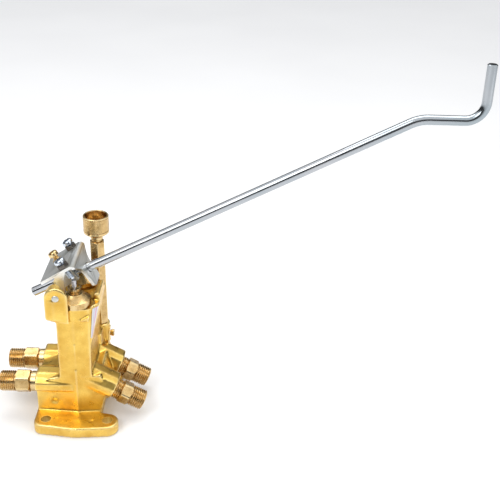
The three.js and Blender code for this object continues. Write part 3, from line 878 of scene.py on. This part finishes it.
def screw_blank(low, head_r, head_high, shank_r, tip_rows):
    """A screw along Z with a domed head at its low end, a thread, and the rows of its tip."""
    neck = low + head_high
    rows = [(low, 0), (low, head_r * 0.55), (low + 0.15, head_r * 0.75), (low + 0.55, head_r * 0.93),
            (low + 1.1, head_r), (neck - 0.25, head_r), (neck, head_r * 0.94), (neck, shank_r - SCREW_DEPTH)]
    rows += thread_rows(neck, tip_rows[0][0], shank_r, SCREW_PITCH, SCREW_DEPTH)
    return turned(rows + tip_rows, 40)


def lock_nut(across_flats, high, hole):
    rows = [(0, hole)] + hex_rows(0, high, across_flats, chamfer=0.3) + [(high, hole)]
    return turned(rows, 72, ring=True)


def adjusting_screws():
    shank_r, head = 1.9, -16.9
    angles = [math.radians(90 - 18 * i) for i in range(5)]
    tip_rows = [(shank_r * (math.cos(a) - 1), shank_r * math.sin(a)) for a in angles] + [(0, 0)]
    blank = screw_blank(head, 3.7, 2.7, shank_r, tip_rows)
    for place, _ in SIDES:
        tip = joint_point(f"adjuster_{place}_turn") + SCREW_WAY * shank_r
        seat = pointing(SCREW_WAY, tip)
        screw = make(f"adjusting_screw_{place}_fine", blank.placed(seat))
        for turn in (45, 135):
            blade = cuboid(1.0, 4.4, 2.4).placed(seat @ Matrix.Rotation(math.radians(turn), 4, "Z"))
            cut(screw, blade.moved(*(SCREW_WAY * head)))
        done(screw, f"adjuster_{place}", f"adjusting_screw_{place}", BLUE)
        nut_high, nut_gap = 2.6, 0.1  # it stands just off the top plate
        under_plate = (tip - RIDGE).dot(SCREW_WAY)
        nut_at = tip - SCREW_WAY * (under_plate + nut_high + nut_gap)
        nut = lock_nut(7, nut_high, 2.1).placed(pointing(SCREW_WAY, nut_at))
        # the lock nut is painted nearly black, as painted shade under its screw's head
        piece(f"adjusting_lock_nut_{place}", nut, SHADE_PAINTED_ZINC)


def clamp_screw():
    head = -8.8
    seat = pointing(SCREW_WAY, CLAMP_AT)
    screw = make("clamp_screw_fine", screw_blank(head, 3.3, 3.2, 1.95, [(8.2, 1.2), (8.4, 0)]).placed(seat))
    cut(screw, lock_nut(6.4, 2.4, 1.7).moved(z=-2.7).placed(seat), "UNION")
    cut(screw, cuboid(1.0, 8, 2.2).placed(seat).moved(*(SCREW_WAY * head)))
    done(screw, "rod_clamp", "clamp_screw", BRASS)


def rod_block():
    """The block under the top plate, with the rod's hole and the clamp screw's hole through it."""
    centre = CLAMP_AT + SCREW_WAY * 9.1
    obj = make("rod_block_fine", cuboid(11, 10, 13.4).placed(pointing(-SCREW_WAY, centre)))
    hole_long = 34
    hole_at = on_rod(centre.x) - ROD_WAY * hole_long / 2
    cut(obj, bar(ROD_R + 0.3, hole_long).placed(pointing(ROD_WAY, hole_at)))
    cut(obj, bar(2.3, 12).placed(pointing(SCREW_WAY, CLAMP_AT)))
    bevelled(obj, 0.3)
    done(obj, "lever", "rod_block", SHEET)
    flat_faces(obj)


def pivot_pins():
    shank, head, head_low, inner_end = 2.35, 3.4, 12.6, 13.8
    rows = [(0, 0), (0, 1.4), (0.15, 1.9), (0.6, shank), (head_low, shank), (head_low, head - 0.2),
            (head_low + 0.2, head), (inner_end - 0.2, head), (inner_end, head - 0.2), (inner_end, 0)]
    pin = turned(rows, 40)
    for place, side in SIDES:
        outer_end = Vector((PIVOT.x, side * 28.2, PIVOT.z))
        piece(f"pivot_pin_{place}", pin.placed(pointing(Y * -side, outer_end, side=Z)), SHEET)


# ---------- the pilot light ----------
def pilot_tube():
    """A hexagonal tube with a round foot, and a grooved neck that the cup turns on."""
    low, foot, shoulder, top = box("pilot_tube")[0].z, 49.9, 114.6, 122.5
    bore = 1.5
    rows = [(low, bore), (low, 2.9), (foot, 3)] + hex_rows(foot, shoulder, 9.5)
    rows += [(shoulder, 3.6), (116.2, 3.6), (116.4, 4.1), (116.8, 4.3), (119, 4.3), (119.3, 4.1),
             (119.3, 2.6), (top, 2.6), (top, bore)]
    return turned(rows, 72, ring=True)


def pilot_cup():
    """A knurled cup, open at its top: foot, lower collar, knurled wall, rim, and the hollow inside."""
    low, high = box("pilot_cup")
    outer = (high.x - low.x) / 2
    bottom, rim = low.z, high.z
    hole, hollow_floor = 2.9, 122.7
    ridges, ridge_high, ridge_deep = 54, 1.15, 0.13

    def knurl(angle, height):
        across = angle * ridges / math.tau
        up = height / ridge_high
        ridge = abs(((across + up) % 1) - 0.5) + abs(((across - up) % 1) - 0.5)
        return outer - 0.02 - ridge_deep * ridge
    rows = [(bottom, hole), (bottom, 6.4), (bottom + 0.2, 6.7), (bottom + 1.7, outer - 0.35),
            (bottom + 2, outer - 0.1), (bottom + 3.4, outer - 0.1), (bottom + 3.5, outer - 0.45),
            (bottom + 3.8, outer - 0.45)]
    start, stop, steps = bottom + 3.9, rim - 1.4, 60
    rows += [(start + (stop - start) * i / steps, knurl) for i in range(steps + 1)]
    rows += [(rim - 1.3, outer - 0.3), (rim - 1.1, outer - 0.1), (rim - 0.3, outer - 0.1), (rim, outer - 0.4),
             (rim, outer - 1.0), (rim - 0.3, outer - 1.3), (125, outer - 1.3), (124, outer - 2.2),
             (hollow_floor, 5), (hollow_floor, hole)]
    return turned(rows, 216, ring=True)


def pilot_jet():
    low, top, bore = 122.9, 126.6, 0.6
    rows = [(low, bore), (low, 2.2), (low + 0.2, 2.4), (125.2, 2.4), (top, 1.5), (top, bore)]
    return turned(rows, 40, ring=True)


def pilot_needle():
    """A pointed end inside the boss, and a slotted head outside it."""
    head_top = 7
    rows = [(0, 0), (1.8, 1.8), (2.4, 2), (5, 2), (5, 2.5), (5.2, 2.6), (head_top - 0.2, 2.6),
            (head_top, 2.4), (head_top, 0)]
    start = joint_point("needle_turn")
    needle = make("pilot_needle_fine", turned(rows, 40).placed(pointing(X, start)))
    cut(needle, cuboid(2.4, 7, 0.8).moved(*(start + X * head_top)))
    done(needle, "needle", "pilot_needle", BRASS)


def pilot_light():
    upright = Matrix.Translation((PILOT.x, PILOT.y, 0))
    corners = Matrix.Rotation(math.radians(30) + 0.2, 4, "Z")
    piece("pilot_tube", pilot_tube().placed(upright @ corners), BRASS)
    piece("pilot_cup", pilot_cup().placed(upright), BRASS)
    piece("pilot_jet", pilot_jet().placed(upright), BRASS)
    pilot_needle()


# ---------- CAD nodes that stay as they are ----------
def paint(node, material):
    materials = frame["nodes"][node].data.materials
    materials.clear()
    materials.append(material)


def paint_kept_nodes():
    kept = {"stem_packing": PTFE, "stem_disc": RUBBER, "valve_seat": BRASS, "return_spring": STEEL}
    for place, _ in SIDES:
        for node, material in kept.items():
            paint(f"{node}_{place}", material)
    paint("label_strip", LABEL)


# ---------- floor, light, camera ----------
def floor():
    size, depth = 4000, -0.2
    corners = [(-size, -size, depth), (size, -size, depth), (size, size, depth), (-size, size, depth)]
    obj = make("floor", Shape(corners, [(0, 1, 2, 3)]))
    p = Paint("pale_floor", 0.0, 0.8)
    p.to("Base Color", p.ramp(p.noise(300, 2), [(0.4, (0.93, 0.93, 0.93)), (0.6, (0.95, 0.95, 0.95))]))
    obj.data.materials.append(p.material)


def soft_light(name, at, target, size, power):
    """A rectangular light facing its target. Places and sizes are in metres, its power in watts."""
    data = bpy.data.lights.new(name, "AREA")
    data.shape = "RECTANGLE"
    data.size, data.size_y = size
    data.energy = power
    obj = bpy.data.objects.new(name, data)
    bpy.context.scene.collection.objects.link(obj)
    obj.location = at
    obj.rotation_mode = "QUATERNION"
    obj.rotation_quaternion = (Vector(target) - Vector(at)).to_track_quat("-Z", "Y")


def lights():
    soft_light("key", (-0.5, -0.6, 0.9), (0, 0, 0.1), (0.7, 0.7), 4.5)
    soft_light("fill", (0.9, -0.5, 0.5), (0.05, 0, 0.1), (0.5, 0.9), 2.0)
    soft_light("top", (0.1, 0.3, 1.1), (0.05, 0, 0.1), (0.9, 0.5), 4.0)


def world():
    """A dark horizon under a bright sky, which gives the metal its bands."""
    sky = bpy.data.worlds.new("studio")
    sky.use_nodes = True
    nodes, links = sky.node_tree.nodes, sky.node_tree.links
    parts = nodes.new("ShaderNodeSeparateXYZ")
    links.new(nodes.new("ShaderNodeTexCoord").outputs["Generated"], parts.inputs["Vector"])
    ramp = nodes.new("ShaderNodeValToRGB")
    elements = ramp.color_ramp.elements
    greys = ((0.0, 0.3), (0.04, 0.04), (0.42, 0.1), (0.62, 1.15))
    while len(elements) < len(greys):
        elements.new(0.5)
    for element, (height, grey) in zip(elements, greys):
        element.position = height
        element.color = (grey * 0.97, grey * 0.98, grey, 1)
    links.new(parts.outputs["Z"], ramp.inputs["Fac"])
    links.new(ramp.outputs["Color"], nodes["Background"].inputs["Color"])
    nodes["Background"].inputs["Strength"].default_value = 0.95
    bpy.context.scene.world = sky


def camera():
    """The view of the object from its front, a little above it. Places are in metres."""
    at = Vector((0.1074, -0.5238, 0.3897))
    forward = Vector((0.0139, 0.8919, -0.4519)).normalized()
    upward = Vector((-0.0247, 0.4521, 0.8916))
    data = bpy.data.cameras.new("camera")
    data.sensor_width = 36
    data.lens = 64.0
    data.clip_start, data.clip_end = 0.01, 20
    obj = bpy.data.objects.new("camera", data)
    bpy.context.scene.collection.objects.link(obj)
    obj.matrix_world = pointing(-forward, at, side=upward)
    bpy.context.scene.camera = obj


# ---------- building it ----------
casting()
hose_fittings()
valves()
bracket()
piece("lever_rod", rod_shape(), ROD)
adjusting_screws()
clamp_screw()
rod_block()
pivot_pins()
pilot_light()
paint_kept_nodes()

floor()
world()
lights()
camera()
bpy.context.scene.view_settings.view_transform = "Standard"
